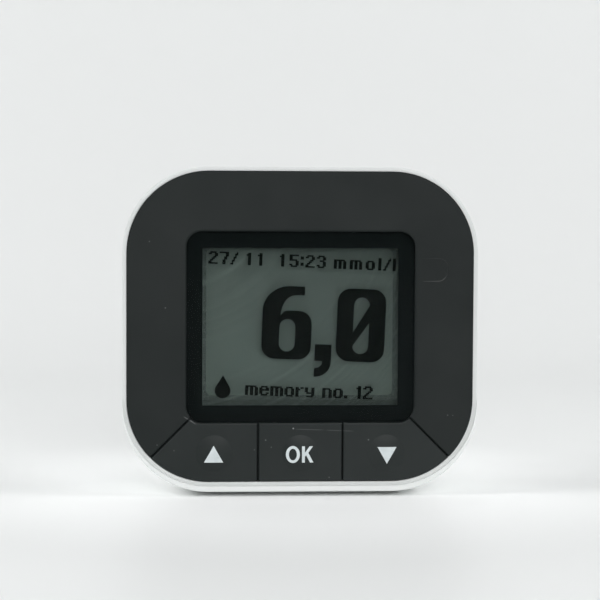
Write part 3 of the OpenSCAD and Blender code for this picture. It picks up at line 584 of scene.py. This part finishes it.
border_ink = mottled("border_ink", (0.0056, 0.0074, 0.0074), (0.0068, 0.009, 0.009), 0.6, 300,
                     Specular_IOR_Level=0.0)[0]
dress("lens_border", border_ink)


# ---------------------------------------------------------------- Display
# A reflective liquid crystal display: two glass plates with polarisers over a grey-green
# reflector. Its dark figures lie between the plates and throw soft shadows on the reflector.
polariser, polariser_tree, polariser_shader = make_material(
    "polariser", (0.006, 0.008, 0.007), 0.3, Alpha=0.1, Specular_IOR_Level=0.1)
polariser_marks = object_noise(polariser_tree, 400)
feed(polariser_shader, "Roughness",
     map_range(polariser_tree, polariser_marks, 0.3, 0.7, 0.25, 0.35))
dress("lcd_glass", polariser)

# The foil is shaded under the frame's upper and lower edges, and a little darker towards the
# top and the right, where less light comes in
foil_dark, foil_light = (0.192, 0.25, 0.226), (0.21, 0.268, 0.24)
reflector_foil, foil_tree, foil_shader = make_material("reflector_foil", foil_light, 0.7)
foil_low, foil_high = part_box("lcd_reflector")
foil_across, foil_up = object_axis(foil_tree, "X"), object_axis(foil_tree, "Z")
foil_shade = 1.0
for along, start, end, start_level, end_level in (
        (foil_up, foil_high.z - 5 * MM, foil_high.z - 1 * MM, 1, 0.8),
        (foil_up, foil_low.z + 1.1 * MM, foil_low.z + 1.3 * MM, 0.72, 1),
        (foil_up, foil_low.z + 4 * MM, foil_high.z - 5 * MM, 1, 0.84),
        (foil_across, foil_low.x + 4 * MM, foil_high.x - 6 * MM, 1, 0.9)):
    level = map_range(foil_tree, along, start, end, start_level, end_level)
    foil_shade = combine(foil_tree, "MULTIPLY", foil_shade, level)
foil_clouds = map_range(foil_tree, object_noise(foil_tree, 45, 3), 0.35, 0.65, 0, 1)
foil_tone = blend_colors(foil_tree, foil_clouds, foil_dark, foil_light)
feed(foil_shader, "Base Color", blend_colors(foil_tree, foil_shade, (0.0, 0.0, 0.0), foil_tone))
add_bump(foil_tree, foil_shader, object_noise(foil_tree, 6000, 1), 0.15, 0.02 * MM)
dress("lcd_reflector", reflector_foil)

crystal_black = mottled("crystal_black", (0.0015, 0.003, 0.0025), (0.003, 0.0045, 0.004), 0.6, 250,
                        Specular_IOR_Level=0.0)[0]

# The display was put in slightly turned, so its figures slope against the window
figure_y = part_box("lcd_glass")[0].y + 0.25 * MM
border_low, border_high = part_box("lens_border")
view_center = (border_low + border_high) / 2
image_turn = radians(2.2)
figure_thickness = 0.05 * MM


def to_display(mesh):
    """Puts a flat mesh, drawn in millimetres about the display's middle, between the plates."""
    mesh.transform(Matrix.Translation((view_center.x, figure_y, view_center.z))
                   @ Matrix.Rotation(image_turn, 4, "Y") @ Matrix.Scale(MM, 4))


def display_figure(name, outlines):
    """Closed thin figure between the display's plates."""
    mesh = flat_shape(name, outlines)
    to_display(mesh)
    shape = bmesh.new()
    shape.from_mesh(mesh)
    bmesh.ops.remove_doubles(shape, verts=shape.verts[:], dist=1e-7)
    solid_skin(shape, figure_thickness)
    shape.to_mesh(mesh)
    shape.free()
    mesh.materials.append(crystal_black)
    piece = new_object(name, mesh)
    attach(piece, "case")


def round_box(left, right, low, high, radius, steps=10):
    """Outline of an upright box with round corners."""
    points = []
    for x, z, start in ((right - radius, high - radius, 0), (left + radius, high - radius, 90),
                        (left + radius, low + radius, 180), (right - radius, low + radius, 270)):
        points += arc((x, z), radius, radius, start, start + 90, steps)
    return points


# Large numerals of the reading: a six, a comma and a slashed nought, in heavy round strokes,
# in millimetres from the display's middle
digit_top = 7.82
digit_low = -6.55
corner = 2.6
six_left, six_right = -7.48, 2.28
ring_top = 3.03
arm_end = 0.67
arm_under = 6.1
notch = (-3.97, 1.94)
six = arc((six_right - corner, ring_top - corner), corner, corner, 0, 90, 10)
six += [(-2.5, ring_top), (-3.3, 2.8), notch]
six += arc((-0.9, 2.2), 3.0, arm_under - 2.2, 172, 90, 12)
six += [(arm_end, arm_under), (arm_end, digit_top)]
six += arc((-2.2, digit_top - 4.9), -2.2 - six_left, 4.9, 90, 180, 16)
six += arc((six_left + corner, digit_low + corner), corner, corner, 180, 270, 10)
six += arc((six_right - corner, digit_low + corner), corner, corner, 270, 360, 10)
six_hole = round_box(-4.07, -0.93, -5.03, 1.34, 1.57)
display_figure("six", [six, six_hole])

nought_left, nought_right = 7.2, 16.77
hole_left, hole_right = 10.45, 13.57
hole_top, hole_low = 6.15, -5.01
hole_radius = (hole_right - hole_left) / 2
hole_mid = (hole_left + hole_right) / 2
upper_hole = arc((hole_mid, hole_top - hole_radius), hole_radius, hole_radius, 0, 180, 14)
upper_hole.append((hole_left, -0.75))
lower_hole = arc((hole_mid, hole_low + hole_radius), hole_radius, hole_radius, 180, 360, 14)
lower_hole.append((hole_right, 1.15))
nought = round_box(nought_left, nought_right, digit_low, digit_top, corner)
display_figure("nought", [nought, upper_hole, lower_hole])

comma = [(3.08, -3.4), (6.36, -3.38)] + arc((3.07, -6.9), 3.28, 2.92, 0, -90, 12)
comma += [(3.07, -8.12)] + arc((3.07, -6.9), 1.55, 1.22, -90, 0, 8) + [(4.62, -6.67), (3.08, -6.67)]
display_figure("comma", [comma])

# Drop-shaped pictogram at the lower left
drop_center = (-14.7, -13.2)
drop = arc(drop_center, 1.55, 1.5, -205, 25, 24) + [(drop_center[0], drop_center[1] + 3.0)]
display_figure("drop_sign", [drop])


# Small lines of text, in square dots: Geometry Nodes put one square on every dot that is on
glyphs = {
    "0": ".####.|##..##|##..##|##..##|##..##|##..##|##..##|.####.",
    "1": "..##|.###|..##|..##|..##|..##|..##|..##",
    "2": ".####.|##..##|....##|...##.|..##..|.##...|##....|######",
    "3": ".####.|##..##|....##|..###.|....##|....##|##..##|.####.",
    "5": "######|##....|##....|#####.|....##|....##|##..##|.####.",
    "7": "######|....##|....##|...##.|...##.|..##..|..##..|..##..",
    "/": "....#|...##|...#.|..##.|..#..|.##..|.#...|##...",
    ":": "..|##|##|..|..|##|##|..",
    ".": "..|..|..|..|..|..|##|##",
    "m": "........|........|#######.|##.##.##|##.##.##|##.##.##|##.##.##|##.##.##",
    "o": "......|......|.####.|##..##|##..##|##..##|##..##|.####.",
    "l": "##|##|##|##|##|##|##|##",
    "e": "......|......|.####.|##..##|######|##....|##..##|.####.",
    "r": "......|......|##.##|###..|##...|##...|##...|##...",
    "y": "......|......|##..##|##..##|##..##|.#####|....##|.####.",
    "n": "......|......|#####.|##..##|##..##|##..##|##..##|##..##",
}


def text_dots(words, baseline, pitch):
    """Middles of the dots that are on, for words given as (text, start, letter gap)."""
    dots = []
    for text, start, gap in words:
        for letter in text:
            rows = glyphs[letter].split("|")
            for r, row in enumerate(rows):
                height = baseline + (len(rows) - r - 0.5) * pitch
                dots += [(start + (c + 0.5) * pitch, height)
                         for c, mark in enumerate(row) if mark == "#"]
            start += len(rows[-1]) * pitch + gap
    return dots


def dot_tree(material):
    """Geometry Nodes tree that puts a thin square plate on each point."""
    tree = bpy.data.node_groups.new("dots_on_points", "GeometryNodeTree")
    tree.interface.new_socket("Geometry", in_out="INPUT", socket_type="NodeSocketGeometry")
    tree.interface.new_socket("Dot Width", in_out="INPUT", socket_type="NodeSocketFloat")
    tree.interface.new_socket("Dot Thickness", in_out="INPUT", socket_type="NodeSocketFloat")
    tree.interface.new_socket("Geometry", in_out="OUTPUT", socket_type="NodeSocketGeometry")
    given = tree.nodes.new("NodeGroupInput")
    size = tree.nodes.new("ShaderNodeCombineXYZ")
    plate = tree.nodes.new("GeometryNodeMeshCube")
    points = tree.nodes.new("GeometryNodeMeshToPoints")
    place = tree.nodes.new("GeometryNodeInstanceOnPoints")
    real = tree.nodes.new("GeometryNodeRealizeInstances")
    finish = tree.nodes.new("GeometryNodeSetMaterial")
    result = tree.nodes.new("NodeGroupOutput")
    finish.inputs["Material"].default_value = material
    link = tree.links.new
    link(given.outputs["Dot Width"], size.inputs["X"])
    link(given.outputs["Dot Thickness"], size.inputs["Y"])
    link(given.outputs["Dot Width"], size.inputs["Z"])
    link(size.outputs["Vector"], plate.inputs["Size"])
    link(given.outputs["Geometry"], points.inputs["Mesh"])
    link(points.outputs["Points"], place.inputs["Points"])
    link(plate.outputs["Mesh"], place.inputs["Instance"])
    link(place.outputs["Instances"], real.inputs["Geometry"])
    link(real.outputs["Geometry"], finish.inputs["Geometry"])
    link(finish.outputs["Geometry"], result.inputs["Geometry"])
    return tree


def bake_geometry(piece, tree, **sizes):
    """Runs a Geometry Nodes tree on a piece and keeps the result as its plain mesh."""
    modifier = piece.modifiers.new(tree.name, "NODES")
    modifier.node_group = tree
    for item in tree.interface.items_tree:
        size_name = item.name.replace(" ", "_").lower()
        if item.in_out == "INPUT" and size_name in sizes:
            modifier[item.identifier] = sizes[size_name]
    bpy.context.view_layer.update()
    evaluated = piece.evaluated_get(bpy.context.evaluated_depsgraph_get())
    mesh = bpy.data.meshes.new_from_object(evaluated)
    piece.modifiers.remove(modifier)
    piece.data = mesh


dots_on_points = dot_tree(crystal_black)
dot_fill = 0.98


def display_text(name, words, baseline, pitch):
    """Line of text with its dots' spacing as pitch, all in millimetres."""
    mesh = bpy.data.meshes.new(name)
    mesh.from_pydata([(x, 0, z) for x, z in text_dots(words, baseline, pitch)], [], [])
    piece = new_object(name, mesh)
    bake_geometry(piece, dots_on_points, dot_width=pitch * dot_fill,
                  dot_thickness=figure_thickness / MM)
    to_display(piece.data)
    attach(piece, "case")


date_words = [("27/", -18.5, 0.3), ("11", -11.4, 1.0), ("1", -4.88, 0), ("5:23", -2.65, 0.36),
              ("mmo", 6.1, 0.7), ("l/l", 14.85, 0.37)]
note_words = [("memory", -10.3, 0.24), ("no.", 4.9, 0.26), ("12", 11.3, 0.4)]
display_text("date_line", date_words, baseline=11.6, pitch=0.305)
display_text("note_line", note_words, baseline=-13.9, pitch=0.32)


# ---------------------------------------------------------------- White case and battery door
# Glossy white moulded plastic, thin at the rim and thick at the sole. Its surface has the
# slow waviness of a moulded wall.
shell_white, shell_tree, shell_shader = mottled(
    "shell_white", (0.785, 0.805, 0.795), (0.815, 0.835, 0.825), 0.3, 35, Specular_IOR_Level=0.35)
shell_marks = object_noise(shell_tree, 120)
feed(shell_shader, "Roughness", map_range(shell_tree, shell_marks, 0.3, 0.7, 0.28, 0.32))
add_bump(shell_tree, shell_shader, object_noise(shell_tree, 60, 0), 0.03, 0.1 * MM)
dress("rear_cover", shell_white)
dress("battery_door", shell_white)


# ---------------------------------------------------------------- Strip port
# A pale insert in the side wall with a slot for a test strip, and the gilt fingers behind it.
port_pale = mottled("port_pale", (0.47, 0.5, 0.5), (0.54, 0.57, 0.57), 0.4, 200)[0]
dress("strip_port", port_pale)


def metal(name, color, roughness, stretch):
    """Metal with fine marks along one direction."""
    material, tree, shader = make_material(name, color, roughness, Metallic=1.0)
    marks = object_noise(tree, 900, 3, stretch)
    feed(shader, "Roughness",
         map_range(tree, marks, 0.3, 0.7, roughness * 0.7, roughness * 1.3))
    add_bump(tree, shader, marks, 0.08, 0.02 * MM)
    return material


dress("strip_contacts", metal("gilt", (0.85, 0.64, 0.3), 0.25, (0.2, 1, 1)))


# ---------------------------------------------------------------- Cells, contacts and screws
# Two AAA cells in plain printed sleeves under the door, held by nickel-plated sheet contacts,
# and the steel screws that hold the case together.
copper_start = 8 * MM
bare_start = 21.4 * MM


def cell_sleeve(name, positive_end):
    """Sleeve with a copper band at the positive end and bare metal ends."""
    material, tree, shader = make_material(name, (0.03, 0.035, 0.045), 0.3, Coat_Weight=0.4)
    across = object_axis(tree, "X")
    along = combine(tree, "MULTIPLY", across, positive_end)
    band = combine(tree, "GREATER_THAN", along, copper_start)
    clouds = object_noise(tree, 500)
    body = blend_colors(tree, clouds, (0.024, 0.028, 0.036), (0.036, 0.042, 0.052))
    copper = blend_colors(tree, clouds, (0.5, 0.22, 0.09), (0.6, 0.28, 0.12))
    printed = blend_colors(tree, band, body, copper)
    bare = combine(tree, "GREATER_THAN", combine(tree, "ABSOLUTE", across), bare_start)
    copper_gleam = combine(tree, "MULTIPLY", band, 0.7)
    feed(shader, "Base Color", blend_colors(tree, bare, printed, (0.62, 0.61, 0.58)))
    feed(shader, "Metallic", combine(tree, "MAXIMUM", bare, copper_gleam))
    feed(shader, "Roughness", map_range(tree, object_noise(tree, 300), 0.3, 0.7, 0.24, 0.36))
    return material


dress("upper_battery", cell_sleeve("upper_sleeve", 1))
dress("lower_battery", cell_sleeve("lower_sleeve", -1))
nickel = metal("nickel_sheet", (0.7, 0.69, 0.66), 0.3, (1, 0.15, 1))
for contact in ("positive_contact", "negative_contact", "bridge_contact"):
    dress(contact, nickel)
dress("case_screws", metal("screw_steel", (0.6, 0.6, 0.61), 0.35, (1, 0.3, 1)))


# ---------------------------------------------------------------- Board and its parts
# Inside the closed case: green laminate, dark chip packages, and the frame, rubber strip and
# switches that carry the display and the keys.
def plain_part(name, low, high, roughness, scale=400):
    """Laminate, plastic or rubber with a faint mottle and an uneven shine."""
    material, tree, shader = mottled(name, low, high, roughness, scale, 3)
    feed(shader, "Roughness", map_range(tree, object_noise(tree, scale * 1.7), 0.3, 0.7,
                                        roughness * 0.85, roughness * 1.15))
    return material


dress("main_board", plain_part(
    "green_laminate", (0.012, 0.13, 0.055), (0.03, 0.19, 0.08), 0.35, 250))
chip_black = plain_part("chip_black", (0.012, 0.012, 0.013), (0.02, 0.02, 0.021), 0.5)
for part in ("control_chip", "buzzer", "strip_connector"):
    dress(part, chip_black)
dress("board_parts", plain_part("ceramic", (0.35, 0.26, 0.15), (0.45, 0.34, 0.2), 0.5, 900))
dress("lcd_frame", plain_part("frame_black", (0.012, 0.013, 0.013), (0.018, 0.019, 0.019), 0.55))
dress("lcd_connector", plain_part(
    "zebra_rubber", (0.02, 0.02, 0.021), (0.03, 0.03, 0.031), 0.75))
dress("key_switches", metal("switch_plate", (0.6, 0.6, 0.58), 0.35, (1, 1, 0.3)))
button_black = plain_part("button_black", (0.015, 0.015, 0.015), (0.024, 0.024, 0.024), 0.5)
for button in ("up_switch_button", "ok_switch_button", "down_switch_button"):
    dress(button, button_black)


# ---------------------------------------------------------------- Scene update
bpy.context.view_layer.update()
